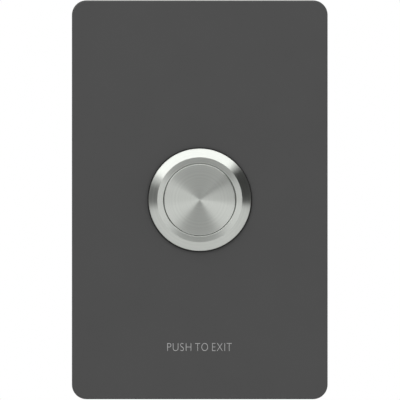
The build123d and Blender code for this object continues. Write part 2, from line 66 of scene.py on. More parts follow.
Mesh = bpy.types.Mesh

MM = 0.001
TURN = 2 * math.pi
CENTRE = Vector((0, 0, 0))
TO_ROOM = (0.0, -1.0, 0.0)
ACROSS_AXIS = (1.0, 0.0, 1.0)
WHITE = (1.0, 1.0, 1.0, 1.0)

# Corners nearer to each other than this, in metres, become one
WELD = 1e-7

# The same for the corners of a coil
COIL_WELD = 1e-8

# A point nearer to the axis than this, in metres, lies on it
ON_AXIS = 1e-9

# Every spin turns about a line along Y, and moves what it turns
SPIN: dict[str, Any] = {"axis": (0, 1, 0), "use_normal_flip": False, "use_duplicate": False}

# Noise keeps mostly between these two values
NOISE_LOW = 0.25
NOISE_HIGH = 0.75

# How a ramp eases in and out, and how often a rounded edge is sampled
SMOOTH = {"interpolation_type": "SMOOTHSTEP"}
EDGE_SAMPLES = 4

# Half the width of a card that goes all round: past a half turn, so its soft ends leave no seam
ALL_ROUND = 200.0

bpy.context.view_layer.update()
log = logging.getLogger("exit_button")


class Body(str, Enum):
    """The bodies that move apart from each other."""

    WALL_UNIT = "wall_unit"
    PUSH_BUTTON = "push_button"
    MOVING_CONTACT = "moving_contact"


class Slot(str, Enum):
    """The record's material slots."""

    COVER = "cover_plastic"
    FRAME = "frame_plastic"
    STEEL = "stainless_steel"
    RUBBER = "black_rubber"
    ZINC = "plated_steel"
    NICKEL = "plated_brass"
    WIRE = "spring_steel"
    BRASS = "terminal_brass"
    SILVER = "contact_silver"
    ACETAL = "plunger_plastic"
    POLYESTER = "base_plastic"
    INK = "legend_ink"


def linear(colour: str) -> tuple[float, float, float, float]:
    """Turns a colour written as sRGB hex into linear values.

    Args:
        colour: six hex digits after a hash sign.

    Returns:
        Linear red, green and blue, and an alpha of 1.
    """
    parts = [int(colour[i : i + 2], 16) / 255 for i in (1, 3, 5)]
    red, green, blue = (c / 12.92 if c <= 0.04045 else ((c + 0.055) / 1.055) ** 2.4 for c in parts)
    return (red, green, blue, 1.0)


def add_node(
    tree: Tree, kind: str, settings: dict[str, Any] | None = None, inputs: dict[str | int, Any] | None = None
) -> Node:
    """Adds one node to a tree, with its settings and its inputs.

    Args:
        tree: the node tree that gets the node.
        kind: the node's type, without its ShaderNode prefix.
        settings: the node's own properties.
        inputs: a value or a linked output for each input socket named.

    Returns:
        The new node.
    """
    node = tree.nodes.new("ShaderNode" + kind)
    for name, value in (settings or {}).items():
        setattr(node, name, value)
    for name, value in (inputs or {}).items():
        if isinstance(value, bpy.types.NodeSocket):
            tree.links.new(value, node.inputs[name])
        else:
            node.inputs[name].default_value = value
    return node


@dataclass(frozen=True)
class Finish:
    """A surface finish, from which one material is made.

    The subclasses add what makes their surface look as it does.

    Attributes:
        name: the material's name.
        colour: its colour, as sRGB hex.
        roughness: how dull it is, from 0 to 1.
        edge_mm: the radius that a tool or a die leaves on its edges.
        relief_mm: how high its pattern stands.
        relief_strength: how strongly that relief shades.
        metallic: 1 for a metal, and 0 for anything else.
    """

    name: str
    colour: str
    roughness: float
    edge_mm: float = 0.12
    relief_mm: float = 0.004
    relief_strength: float = 0.4
    metallic: float = 0.0

    def material(self) -> bpy.types.Material:
        """Makes the finish's material.

        Returns:
            The new material.
        """
        material = bpy.data.materials.new(self.name)
        material.use_nodes = True
        base = linear(self.colour)
        material.diffuse_color = base
        tree = material.node_tree
        tree.nodes.clear()
        place = add_node(tree, "TexCoord").outputs["Object"]
        surface = {"Base Color": base, "Roughness": self.roughness, "Metallic": self.metallic}
        shader = add_node(tree, "BsdfPrincipled", inputs=surface)
        self.dress(tree, shader, place)
        add_node(tree, "OutputMaterial", inputs={"Surface": shader.outputs[0]})
        return material

    def dress(self, tree: Tree, shader: Node, place: Socket) -> None:
        """Adds the pattern and relief of the finish to its shader.

        Args:
            tree: the material's nodes.
            shader: the surface's shader.
            place: the place on the object.
        """
        raise NotImplementedError

    def vary(self, tree: Tree, shader: Node, pattern: Socket, tone: float, gloss: float) -> None:
        """Lets the colour and the roughness follow a pattern.

        Args:
            tree: the material's nodes.
            shader: the surface's shader.
            pattern: the pattern, from 0 to 1.
            tone: how much of its brightness the colour gains or loses.
            gloss: how much the roughness gains or loses.
        """
        span = {0: pattern, 1: NOISE_LOW, 2: NOISE_HIGH}
        level = add_node(tree, "MapRange", SMOOTH, {**span, 3: 1 - tone, 4: 1 + tone}).outputs[0]
        scaled = {0: linear(self.colour)[:3], "Scale": level}
        colour = add_node(tree, "VectorMath", {"operation": "SCALE"}, scaled).outputs[0]
        tree.links.new(colour, shader.inputs["Base Color"])
        ends = {3: self.roughness - gloss, 4: self.roughness + gloss}
        rough = add_node(tree, "MapRange", SMOOTH, {**span, **ends}).outputs[0]
        tree.links.new(rough, shader.inputs["Roughness"])

    def emboss(self, tree: Tree, shader: Node, pattern: Socket, normal: Socket | None = None) -> None:
        """Lets a pattern stand up from the surface.

        Args:
            tree: the material's nodes.
            shader: the surface's shader.
            pattern: the pattern, from 0 to 1.
            normal: the surface's direction, or None for the real one with its edges slightly rounded.
        """
        if normal is None:
            edge = {"Radius": self.edge_mm * MM}
            normal = add_node(tree, "Bevel", {"samples": EDGE_SAMPLES}, edge).outputs[0]
        relief = {"Strength": self.relief_strength, "Distance": self.relief_mm * MM}
        bump = add_node(tree, "Bump", inputs={**relief, "Height": pattern, "Normal": normal})
        tree.links.new(bump.outputs[0], shader.inputs["Normal"])


@dataclass(frozen=True)
class MouldedPlastic(Finish):
    """Plastic from a spark eroded or plain mould: even colour, soft sheen, fine pebbled grain.

    A real grain is 0.1 to 0.2 mm wide. It is drawn wider, because a finer one wouldn't show.

    Attributes:
        ior: its index of refraction.
        gloss: how strongly it mirrors, where 0.5 is plain.
        grain_mm: the width of the grain.
        cloud_mm: the width of the clouds in its colour.
        clouding: how much of its brightness a cloud gains or loses.
        gloss_change: how much the roughness gains or loses.
        subsurface_mm: how deep light goes into a clear resin, or 0.
        subsurface: the share of light that does.
    """

    relief_mm: float = 0.01
    relief_strength: float = 0.6
    ior: float = 1.54
    gloss: float = 0.5
    grain_mm: float = 0.35
    cloud_mm: float = 14.0
    clouding: float = 0.02
    gloss_change: float = 0.03
    subsurface_mm: float = 0.0
    subsurface: float = 0.3

    def dress(self, tree: Tree, shader: Node, place: Socket) -> None:
        """Adds grain, faint clouding and, for a clear resin, light inside it.

        Args:
            tree: the material's nodes.
            shader: the surface's shader.
            place: the place on the object.
        """
        clouds = {"Vector": place, "Scale": 1 / (self.cloud_mm * MM), "Detail": 3.0}
        cloud = add_node(tree, "TexNoise", inputs=clouds).outputs[0]
        self.vary(tree, shader, cloud, self.clouding, self.gloss_change)
        grains = {"Vector": place, "Scale": 1 / (self.grain_mm * MM), "Detail": 2.0}
        self.emboss(tree, shader, add_node(tree, "TexNoise", inputs=grains).outputs[0])
        shader.inputs["IOR"].default_value = self.ior
        shader.inputs["Specular IOR Level"].default_value = self.gloss
        if self.subsurface_mm:
            shader.inputs["Subsurface Weight"].default_value = self.subsurface
            shader.inputs["Subsurface Scale"].default_value = self.subsurface_mm * MM


@dataclass(frozen=True)
class TurnedMetal(Finish):
    """Metal faced on a lathe: fine rings round the button's axis that fan the light out in cones.

    The rings are some hundredths of a millimetre apart on the real one. They are drawn a few tenths apart,
    because finer ones wouldn't show, and the stretched highlight stands for the rest. On a flat face the
    rings' flanks lean outwards, so that it mirrors the room round its axis.

    Attributes:
        anisotropy: how far the highlight is stretched across the rings.
        ring_mm: the distance between two drawn rings.
        tone: how much of its brightness a ring gains or loses.
        gloss_change: how much its roughness gains or loses.
        lean: how far the flanks lean on a flat face.
        lean_from: how squarely a face looks to the room where the lean starts, with 1 for straight.
        lean_full: where the lean is full.
    """

    relief_mm: float = 0.0012
    relief_strength: float = 0.5
    metallic: float = 1.0
    anisotropy: float = 0.85
    ring_mm: float = 0.5
    tone: float = 0.035
    gloss_change: float = 0.02
    lean: float = 0.2
    lean_from: float = 0.9
    lean_full: float = 0.98

    def dress(self, tree: Tree, shader: Node, place: Socket) -> None:
        """Adds the rings, and stretches the highlight across them.

        Args:
            tree: the material's nodes.
            shader: the surface's shader.
            place: the place on the object.
        """
        flat = add_node(tree, "VectorMath", {"operation": "MULTIPLY"}, {0: place, 1: ACROSS_AXIS}).outputs[0]
        outward = add_node(tree, "VectorMath", {"operation": "NORMALIZE"}, {0: flat}).outputs[0]
        radius = add_node(tree, "VectorMath", {"operation": "LENGTH"}, {0: flat}).outputs["Value"]
        turned = {"W": radius, "Scale": 1 / (self.ring_mm * MM), "Detail": 2.0}
        rings = add_node(tree, "TexNoise", {"noise_dimensions": "1D"}, turned).outputs[0]
        self.vary(tree, shader, rings, self.tone, self.gloss_change)
        shader.inputs["Anisotropic"].default_value = self.anisotropy
        tree.links.new(outward, shader.inputs["Tangent"])
        surface = add_node(tree, "NewGeometry").outputs["Normal"]
        facing = add_node(tree, "VectorMath", {"operation": "DOT_PRODUCT"}, {0: surface, 1: TO_ROOM})
        span = {0: facing.outputs["Value"], 1: self.lean_from, 2: self.lean_full, 3: 0.0, 4: self.lean}
        amount = add_node(tree, "MapRange", SMOOTH, span).outputs[0]
        tilt = add_node(tree, "VectorMath", {"operation": "SCALE"}, {0: outward, "Scale": amount}).outputs[0]
        leaning = add_node(tree, "VectorMath", {"operation": "ADD"}, {0: surface, 1: tilt}).outputs[0]
        normal = add_node(tree, "VectorMath", {"operation": "NORMALIZE"}, {0: leaning}).outputs[0]
        self.emboss(tree, shader, rings, normal)


@dataclass(frozen=True)
class PlatedMetal(Finish):
    """Plated or cold formed metal: bright, with a faint unevenness under the plating.

    Attributes:
        mottle_mm: the width of the unevenness.
        mottle: how much of its brightness it gains or loses.
        gloss_change: how much the roughness gains or loses.
    """

    metallic: float = 1.0
    mottle_mm: float = 1.2
    mottle: float = 0.06
    gloss_change: float = 0.05

    def dress(self, tree: Tree, shader: Node, place: Socket) -> None:
        """Adds the mottling and the unevenness.

        Args:
            tree: the material's nodes.
            shader: the surface's shader.
            place: the place on the object.
        """
        patches = {"Vector": place, "Scale": 1 / (self.mottle_mm * MM), "Detail": 4.0}
        mottling = add_node(tree, "TexNoise", inputs=patches).outputs[0]
        self.vary(tree, shader, mottling, self.mottle, self.gloss_change)
        self.emboss(tree, shader, mottling)


@dataclass(frozen=True)
class RolledMetal(Finish):
    """Sheet as rolled: fine lines across the button.

    Real lines are some hundredths of a millimetre wide. They are drawn wider, because finer ones wouldn't
    show.

    Attributes:
        line_mm: the width of a line.
        line_length_mm: its length.
        tone: how much of its brightness a line gains or loses.
        gloss_change: how much its roughness gains or loses.
    """

    relief_mm: float = 0.002
    metallic: float = 1.0
    line_mm: float = 0.12
    line_length_mm: float = 6.0
    tone: float = 0.05
    gloss_change: float = 0.06

    def dress(self, tree: Tree, shader: Node, place: Socket) -> None:
        """Adds the rolling lines.

        Args:
            tree: the material's nodes.
            shader: the surface's shader.
            place: the place on the object.
        """
        along, across = 1 / (self.line_length_mm * MM), 1 / (self.line_mm * MM)
        stretch = {"Vector": place, "Scale": (along, across, across)}
        stretched = add_node(tree, "Mapping", inputs=stretch).outputs[0]
        rolled = {"Vector": stretched, "Scale": 1.0, "Detail": 2.0}
        lines = add_node(tree, "TexNoise", inputs=rolled).outputs[0]
        self.vary(tree, shader, lines, self.tone, self.gloss_change)
        self.emboss(tree, shader, lines)


FINISHES: dict[Slot, Finish] = {
    # ABS from a finely spark eroded mould: dark grey, matt and even
    Slot.COVER: MouldedPlastic("moulded_abs_dark_grey", "#4F4F4F", 0.55, edge_mm=0.15, gloss=0.2),
    # Polycarbonate from a plain mould: darker, with a soft gloss
    Slot.FRAME: MouldedPlastic("moulded_polycarbonate_frame", "#3C3D3F", 0.38, ior=1.58, relief_mm=0.004),
    # Turned austenitic stainless: bright cones of light across its rings
    Slot.STEEL: TurnedMetal("turned_stainless", "#C8CBC6", 0.3),
    # Silicone rubber: near black, with a dull skin
    Slot.RUBBER: MouldedPlastic("silicone_rubber_black", "#161616", 0.6, ior=1.41, edge_mm=0.05),
    # Steel with bright zinc: cool and slightly mottled
    Slot.ZINC: PlatedMetal("bright_zinc_on_steel", "#C4C8CB", 0.28),
    # Brass with nickel: warm and smooth
    Slot.NICKEL: PlatedMetal("nickel_on_brass", "#CFCABD", 0.2, mottle_mm=2.5, mottle=0.03),
    # Drawn stainless wire: grey, with a satin gloss
    Slot.WIRE: PlatedMetal("drawn_spring_wire", "#B9BABA", 0.3, edge_mm=0.03),
    # Stamped brass strip: yellow, with rolling lines
    Slot.BRASS: RolledMetal("stamped_brass_strip", "#D9B35C", 0.28),
    # Cold headed fine silver: white and soft
    Slot.SILVER: PlatedMetal("headed_fine_silver", "#E4E2DC", 0.22, edge_mm=0.05),
    # Natural acetal: milky white, with light inside it
    Slot.ACETAL: MouldedPlastic(
        "natural_acetal", "#E3E0D8", 0.35, ior=1.48, relief_mm=0.003, subsurface_mm=1.0
    ),
    # Glass filled polyester: black, dry and slightly streaked
    Slot.POLYESTER: MouldedPlastic(
        "glass_filled_polyester_black", "#202123", 0.5, ior=1.57, grain_mm=0.5, clouding=0.12
    ),
    # Pad printing ink: light grey and flat
    Slot.INK: MouldedPlastic("pad_printing_ink_grey", "#BDBDBD", 0.7, ior=1.5, relief_mm=0.002),
}


def add_object(name: str, data: bpy.types.ID) -> bpy.types.Object:
    """Puts a new object in the scene.

    Args:
        name: the object's name.
        data: its mesh, letters, camera or lamp.

    Returns:
        The object, at the origin.
    """
    made = bpy.data.objects.new(name, data)
    bpy.context.scene.collection.objects.link(made)
    return made


def finished_mesh(work: Shape, name: str, sharp_degrees: float) -> Mesh:
    """Turns a bmesh into a mesh whose round faces are smooth and whose edges are sharp.

    Args:
        work: the shape, which is freed.
        name: the mesh's name.
        sharp_degrees: the angle from which an edge is sharp.

    Returns:
        The mesh.
    """
    bmesh.ops.remove_doubles(work, verts=work.verts, dist=WELD)
    bmesh.ops.recalc_face_normals(work, faces=work.faces)
    for face in work.faces:
        face.smooth = True
    mesh = bpy.data.meshes.new(name)
    work.to_mesh(mesh)
    work.free()
    mesh.set_sharp_from_angle(angle=math.radians(sharp_degrees))
    return mesh


def joined(meshes: Iterable[Mesh]) -> Shape:
    """Puts meshes together in one shape.

    Args:
        meshes: the meshes, which are removed.

    Returns:
        The shape.
    """
    work = bmesh.new()
    for mesh in meshes:
        work.from_mesh(mesh)
        bpy.data.meshes.remove(mesh)
    return work


def lathe(profile: Sequence[tuple[float, float]], steps: int, middle: Vector = CENTRE) -> Shape:
    """Turns a closed profile about a line along Y.

    Args:
        profile: radius and height of each corner, in millimetres.
        steps: how many faces go round.
        middle: a point on the line.

    Returns:
        The turned shape.
    """
    work = bmesh.new()
    corners = [work.verts.new(middle + Vector((r * MM, -h * MM, 0))) for r, h in profile]
    edges = [work.edges.new(pair) for pair in zip(corners, corners[1:] + corners[:1])]
    on_axis = [e for e in edges if all((v.co - middle).x < ON_AXIS for v in e.verts)]
    bmesh.ops.delete(work, geom=on_axis, context="EDGES")
    outline = work.verts[:] + work.edges[:]
    bmesh.ops.spin(
        work, geom=outline, cent=middle, dvec=(0, 0, 0), angle=TURN, steps=steps, use_merge=True, **SPIN
    )
    bmesh.ops.remove_doubles(work, verts=work.verts, dist=WELD)
    bmesh.ops.recalc_face_normals(work, faces=work.faces)
    return work


def arc(
    centre: tuple[float, float], radius: float, start: float, end: float, steps: int
) -> list[tuple[float, float]]:
    """Gives the round edge of a turned profile.

    Args:
        centre: radius and height of the arc's middle.
        radius: the arc's own radius.
        start: its first direction, in degrees from the axis.
        end: its last direction.
        steps: how many straight lines stand for it.

    Returns:
        Radius and height of each point, in order.
    """
    turns = [math.radians(start + (end - start) * k / steps) for k in range(steps + 1)]
    return [(centre[0] + radius * math.sin(t), centre[1] + radius * math.cos(t)) for t in turns]


def coil(
    section: Sequence[Vector], middle: Vector, turns: Sequence[tuple[float, float]], steps: int
) -> Shape:
    """Winds a closed section round a line along Y, as a thread or a spring.

    Args:
        section: the section's corners at the start, in order.
        middle: a point on the line.
        turns: for each stretch, its turns and its lead per turn in metres along +Y.
        steps: how many faces make one turn.

    Returns:
        The closed coil.
    """
    work = bmesh.new()
    start = work.faces.new([work.verts.new(corner) for corner in section])
    geometry: list[Any] = [start, *start.edges, *start.verts]
    for count, lead in turns:
        pieces = max(1, round(count * steps))
        rise, angle = (0, lead * count / pieces, 0), TURN * count
        made = bmesh.ops.spin(
            work, geom=geometry, cent=middle, dvec=rise, angle=angle, steps=pieces, use_merge=False, **SPIN
        )
        geometry = made["geom_last"]
    bmesh.ops.remove_doubles(work, verts=work.verts, dist=COIL_WELD)
    bmesh.ops.holes_fill(work, edges=[e for e in work.edges if e.is_boundary], sides=len(section))
    bmesh.ops.recalc_face_normals(work, faces=work.faces)
    return work


def carve(mesh: Mesh, cutters: Iterable[Shape]) -> Mesh:
    """Cuts closed shapes out of a closed one, one after the other.

    Args:
        mesh: the shape that is cut, which is removed.
        cutters: the shapes that are taken out, which are freed.

    Returns:
        What is left.
    """
    body = add_object("blank", mesh)
    for shape in cutters:
        tool = bpy.data.meshes.new("cutter")
        shape.to_mesh(tool)
        shape.free()
        cutter = add_object("cutter", tool)
        cut = body.modifiers.new("cut", "BOOLEAN")
        cut.operation = "DIFFERENCE"
        cut.solver = "MANIFOLD"
        cut.object = cutter
        graph = bpy.context.evaluated_depsgraph_get()
        left = bpy.data.meshes.new_from_object(body.evaluated_get(graph))
        body.modifiers.clear()
        before, body.data = body.data, left
        bpy.data.objects.remove(cutter)
        bpy.data.meshes.remove(before)
        bpy.data.meshes.remove(tool)
    carved = body.data
    bpy.data.objects.remove(body)
    return carved


@dataclass(frozen=True)
class Thread:
    """A screw thread, by the groove between its turns. Sizes are in millimetres.

    Attributes:
        pitch: the distance between two turns.
        depth: the groove's depth.
        crest: the flat left between two turns of the groove.
        clear: how far the cutter stands out of the shank.
        overrun: how far the groove runs past the shank's end.
        steps: how many faces make one turn.
    """

    pitch: float
    depth: float
    crest: float
    clear: float
    overrun: float
    steps: int

    def groove(self, radius: float, start: float, end: float, middle: Vector = CENTRE) -> Shape:
        """Winds the groove's shape.

        Args:
            radius: the shank's radius.
            start: the height of the first turn.
            end: the height of the shank's end.
            middle: a point on the shank's axis.

        Returns:
            The shape to cut away.
        """
        half = (self.pitch - self.crest) / 2
        corners = (
            (radius + self.clear, start + half),
            (radius - self.depth, start),
            (radius + self.clear, start - half),
        )
        section = [middle + Vector((r * MM, -h * MM, 0)) for r, h in corners]
        turns = (start - end + self.overrun) / self.pitch
        return coil(section, middle, [(turns, self.pitch * MM)], self.steps)


class Workshop:
    """Makes the materials once, and puts each finished piece in its place."""

    def __init__(self) -> None:
        """Makes one material for each finish."""
        self.materials = {slot: finish.material() for slot, finish in FINISHES.items()}

    def dress_solid(self, node: str, slot: Slot) -> None:
        """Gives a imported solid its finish.

        Args:
            node: the solid's name.
            slot: the finish's slot.
        """
        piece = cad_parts[node]
        piece.data.materials.clear()
        piece.data.materials.append(self.materials[slot])
        log.info("dressed %s with %s", node, self.materials[slot].name)

    def add_piece(
        self, name: str, mesh: Mesh, body: Body, slot: Slot, stands_for: Iterable[str] = ()
    ) -> bpy.types.Object:
        """Puts a modelled piece on its body.

        Args:
            name: the piece's name.
            mesh: its shape, already in place.
            body: the body that it moves with.
            slot: the finish's slot.
            stands_for: the solids that it replaces.

        Returns:
            The piece.
        """
        piece = add_object(name, mesh)
        mesh.materials.clear()
        mesh.materials.append(self.materials[slot])
        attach(piece, body.value)
        if stands_for:
            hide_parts(*stands_for)
        log.info("made %s, %d faces, on %s", name, len(mesh.polygons), body.value)
        return piece


@dataclass(frozen=True)
class PrintedWord:
    """A word of the legend and where it starts and ends, in millimetres from the plate's middle."""

    text: str
    left: float
    right: float


@dataclass
class WallPlate:
    """The cover plate, the frame behind it and the printed legend. Sizes are in millimetres.

    Attributes:
        legend: the words.
        cap_height: the height of the letters.
        baseline: the height of their feet on the plate.
        letter_spacing: how far the letters stand apart, with 1 for the typeface's own.
        stroke_change: how much wider their strokes are, at the typeface's own size.
        curve_steps: how many lines make one curve.
        ink: how far the ink stands out of the plate.
        sunk: how far it reaches into the plate.
        sharp_degrees: the angle from which its edges are sharp.
    """

    legend: tuple[PrintedWord, ...] = (
        PrintedWord("PUSH", -9.53, -2.49),
        PrintedWord("TO", -1.36, 2.4),
        PrintedWord("EXIT", 3.62, 9.37),
    )
    cap_height: float = 2.3
    baseline: float = -44.3
    letter_spacing: float = 1.1
    stroke_change: float = -0.019
    curve_steps: int = 8
    ink: float = 0.02
    sunk: float = 0.005
    sharp_degrees: float = 30.0

    def build(self, shop: Workshop) -> None:
        """Dresses the solids and prints the legend on the cover.

        Args:
            shop: the workshop.
        """
        shop.dress_solid("cover_plate", Slot.COVER)
        shop.dress_solid("mounting_frame", Slot.FRAME)
        shop.dress_solid("panel_gasket", Slot.RUBBER)
        shop.add_piece("legend", self.print_legend(), Body.WALL_UNIT, Slot.INK)

    def print_legend(self) -> Mesh:
        """Makes the legend as thin raised ink on the cover's face.

        Returns:
            The words, in place.
        """
        ink = joined(self.letters(word) for word in self.legend)
        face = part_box("cover_plate")[0].y
        upright = Matrix.Rotation(math.pi / 2, 3, "X")
        bmesh.ops.rotate(ink, verts=ink.verts, cent=CENTRE, matrix=upright)
        bmesh.ops.translate(ink, verts=ink.verts, vec=(0, face + self.sunk * MM, self.baseline * MM))
        bmesh.ops.remove_doubles(ink, verts=ink.verts, dist=WELD)
        raised = bmesh.ops.extrude_face_region(ink, geom=ink.faces[:])
        top = [corner for corner in raised["geom"] if isinstance(corner, bmesh.types.BMVert)]
        bmesh.ops.translate(ink, verts=top, vec=(0, -(self.ink + self.sunk) * MM, 0))
        return finished_mesh(ink, "legend", self.sharp_degrees)

    def letters(self, word: PrintedWord) -> Mesh:
        """Makes the flat letters of one word, as wide and as high as they are printed.

        Args:
            word: the word.

        Returns:
            The letters, flat, with their feet on the X axis.
        """
        curve = bpy.data.curves.new(word.text, "FONT")
        curve.body = word.text
        curve.resolution_u = self.curve_steps
        curve.offset = self.stroke_change
        curve.space_character = self.letter_spacing
        text = add_object(word.text, curve)
        graph = bpy.context.evaluated_depsgraph_get()
        mesh = bpy.data.meshes.new_from_object(text.evaluated_get(graph))
        bpy.data.objects.remove(text)
        low = Vector(min(v.co[k] for v in mesh.vertices) for k in range(3))
        high = Vector(max(v.co[k] for v in mesh.vertices) for k in range(3))
        across = (word.right - word.left) * MM / (high.x - low.x)
        up = self.cap_height * MM / (high.y - low.y)
        mesh.transform(
            Matrix.Translation((word.left * MM, 0, 0))
            @ Matrix.Diagonal((across, up, 1, 1))
            @ Matrix.Translation((-low.x, -low.y, 0))
        )
        return mesh


@dataclass
class PushSwitch:
    """The push button switch, with its housing, cap, mechanism and terminals.

    Sizes are in millimetres. Every top, front, rear, seat and end is a height over the wall plane.
    """

    steps: int = 192
    edge_steps: int = 8
    sharp_degrees: float = 20.0
    cap_radius: float = 10.5
    cap_edge_radius: float = 0.3
    cap_wall: float = 0.9
    cap_face_wall: float = 1.2
    cap_skirt_end: float = 3.2
    bezel_radius: float = 15.0
    bezel_face_radius: float = 12.4
    bezel_rim: float = 0.5
    bezel_edge_radius: float = 0.35
    bezel_seat: float = 6.5
    bezel_top: float = 8.7
    bore_radius: float = 10.6
    mouth_chamfer: float = 0.15
    barrel_radius: float = 12.5
    barrel_rear: float = -20.0
    barrel_chamfer: float = 0.6
    relief_depth: float = 0.5
    relief_length: float = 1.0
    cavity_radius: float = 10.9
    web_top: float = 0.5
    web_bottom: float = -2.0
    guide_radius: float = 4.0
    collar_radius: float = 5.4
    collar_height: float = 1.2
    ring_groove_front: float = -18.0
    ring_groove_rear: float = -18.85
    ring_groove_radius: float = 11.3
    keyway_front: float = -13.0
    keyway_width: float = 2.4
    keyway_cut: float = 4.0
    keyway_overrun: float = 2.0
    thread: Thread = Thread(pitch=1.0, depth=0.6, crest=0.14, clear=0.05, overrun=0.5, steps=96)

    def build(self, shop: Workshop) -> None:
        """Makes the housing and the cap, and dresses what stays as solids.

        Args:
            shop: the workshop.
        """
        shop.add_piece("housing", self.housing(), Body.WALL_UNIT, Slot.STEEL, ["bezel_housing"])
        shop.add_piece("cap", self.cap(), Body.PUSH_BUTTON, Slot.STEEL, ["push_cap"])
        for node, slot in (
            ("lock_washer", Slot.ZINC), ("lock_nut", Slot.NICKEL), ("plunger", Slot.ACETAL),
            ("stem_seal", Slot.RUBBER), ("retaining_clip", Slot.WIRE), ("contact_bridge", Slot.BRASS),
            ("bridge_tips", Slot.SILVER), ("fixed_tips", Slot.SILVER), ("left_terminal", Slot.BRASS),
            ("right_terminal", Slot.BRASS), ("wire_clamps", Slot.ZINC), ("terminal_screws", Slot.NICKEL),
            ("terminal_base", Slot.POLYESTER), ("base_ring", Slot.WIRE),
        ):
            shop.dress_solid(node, slot)

    def cap(self) -> Mesh:
        """Turns the cap.

        Returns:
            The cap, in place.
        """
        inside = self.cap_radius - self.cap_wall
        edge = self.cap_edge_radius
        profile = [
            (0, self.bezel_top),
            *arc((self.cap_radius - edge, self.bezel_top - edge), edge, 0, 90, self.edge_steps),
            (self.cap_radius, self.cap_skirt_end),
            (inside, self.cap_skirt_end),
            (inside, self.bezel_top - self.cap_face_wall),
            (0, self.bezel_top - self.cap_face_wall),
        ]
        return finished_mesh(lathe(profile, self.steps), "cap", self.sharp_degrees)

    def housing(self) -> Mesh:
        """Turns the housing, then cuts its thread and its keyway.

        Returns:
            The housing, in place.
        """
        relief = self.barrel_radius - self.relief_depth
        thread_start = self.bezel_seat - self.relief_length
        edge, corner = self.bezel_edge_radius, self.bezel_seat + self.bezel_rim
        slope = math.degrees(math.atan2(self.bezel_top - corner, self.bezel_radius - self.bezel_face_radius))
        below = edge * math.tan(math.radians(90 - slope) / 2)
        profile = [
            (self.guide_radius, self.web_top + self.collar_height),
            (self.collar_radius, self.web_top + self.collar_height),
            (self.collar_radius, self.web_top),
            (self.bore_radius, self.web_top),
            (self.bore_radius, self.bezel_top - self.mouth_chamfer),
            (self.bore_radius + self.mouth_chamfer, self.bezel_top),
            (self.bezel_face_radius, self.bezel_top),
            *arc((self.bezel_radius - edge, corner - below), edge, slope, 90, self.edge_steps),
            (self.bezel_radius, self.bezel_seat),
            (relief, self.bezel_seat),
            (relief, thread_start),
            (self.barrel_radius, thread_start - self.relief_depth),
            (self.barrel_radius, self.barrel_rear + self.barrel_chamfer),
            (self.barrel_radius - self.barrel_chamfer, self.barrel_rear),
            (self.cavity_radius, self.barrel_rear),
            (self.cavity_radius, self.ring_groove_rear),
            (self.ring_groove_radius, self.ring_groove_rear),
            (self.ring_groove_radius, self.ring_groove_front),
            (self.cavity_radius, self.ring_groove_front),
            (self.cavity_radius, self.web_bottom),
            (self.guide_radius, self.web_bottom),
        ]
        blank = finished_mesh(lathe(profile, self.steps), "housing", self.sharp_degrees)
        groove = self.thread.groove(self.barrel_radius, thread_start, self.barrel_rear)
        carved = joined([carve(blank, (groove, self.keyway()))])
        return finished_mesh(carved, "housing", self.sharp_degrees)

    def keyway(self) -> Shape:
        """Makes the slot through the barrel's rear for the base's key.

        Returns:
            The shape to cut away.
        """
        work = bmesh.new()
        bmesh.ops.create_cube(work, size=1.0)
        long = self.keyway_front - self.barrel_rear + self.keyway_overrun
        size = Vector((self.keyway_cut, long, self.keyway_width)) * MM
        bmesh.ops.scale(work, verts=work.verts, vec=size)
        place = Vector((self.barrel_radius, long / 2 - self.keyway_front, 0)) * MM
        bmesh.ops.translate(work, verts=work.verts, vec=place)
        return work


@dataclass(frozen=True)
class CoilSpring:
    """A compression spring with a closed coil at each end. Sizes are in millimetres.

    Attributes:
        node: the solid that it replaces.
        body: the body that it moves with.
        front: the height of its seat nearer to the room.
        rear: the height of its other seat.
        wire: the wire's diameter.
        mean_diameter: the coil's diameter, from the middle of the wire.
        turns: all its turns.
        joint: the joint that shortens it. Not used.
        fixed_end: the height of the end that stays on its body. Not used.
        keep: its length at the joint's limit, as a share of that at rest. Not used.
        closed_lead: the lead of a closed coil, in wires.
        wire_corners: how many faces go round the wire.
        steps: how many faces make one turn.
        sharp_degrees: the angle from which its edges are sharp.
    """

    node: str
    body: Body
    front: float
    rear: float
    wire: float
    mean_diameter: float
    turns: float
    joint: str
    fixed_end: float
    keep: float
    closed_lead: float = 1.02
    wire_corners: int = 12
    steps: int = 48
    sharp_degrees: float = 60.0

    def build(self, shop: Workshop) -> None:
        """Winds the spring and puts it on its body in place of its solid.

        Args:
            shop: the workshop.
        """
        closed = self.wire * self.closed_lead
        rise = self.front - self.rear - self.wire - 2 * closed
        centre = Vector((self.mean_diameter / 2, self.wire / 2 - self.front, 0))
        angles = [TURN * k / self.wire_corners for k in range(self.wire_corners)]
        section = [(centre + self.wire / 2 * Vector((math.cos(a), math.sin(a), 0))) * MM for a in angles]
        stretches = [(1.0, closed * MM), (self.turns - 2, rise / (self.turns - 2) * MM), (1.0, closed * MM)]
        work = coil(section, CENTRE, stretches, self.steps)
        mesh = finished_mesh(work, self.node + "_wire", self.sharp_degrees)
        piece = shop.add_piece(self.node + "_wire", mesh, self.body, Slot.WIRE, [self.node])
        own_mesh(piece)


RETURN_SPRING = CoilSpring(
    node="return_spring", body=Body.WALL_UNIT, front=5.88, rear=0.52, wire=0.5, mean_diameter=12.0,
    turns=4.0, joint="button_press", fixed_end=0.5, keep=0.535,
)
CONTACT_SPRING = CoilSpring(
    node="contact_spring", body=Body.MOVING_CONTACT, front=-4.52, rear=-8.38, wire=0.35, mean_diameter=4.6,
    turns=6.0, joint="button_press", fixed_end=-8.4, keep=0.744,
)


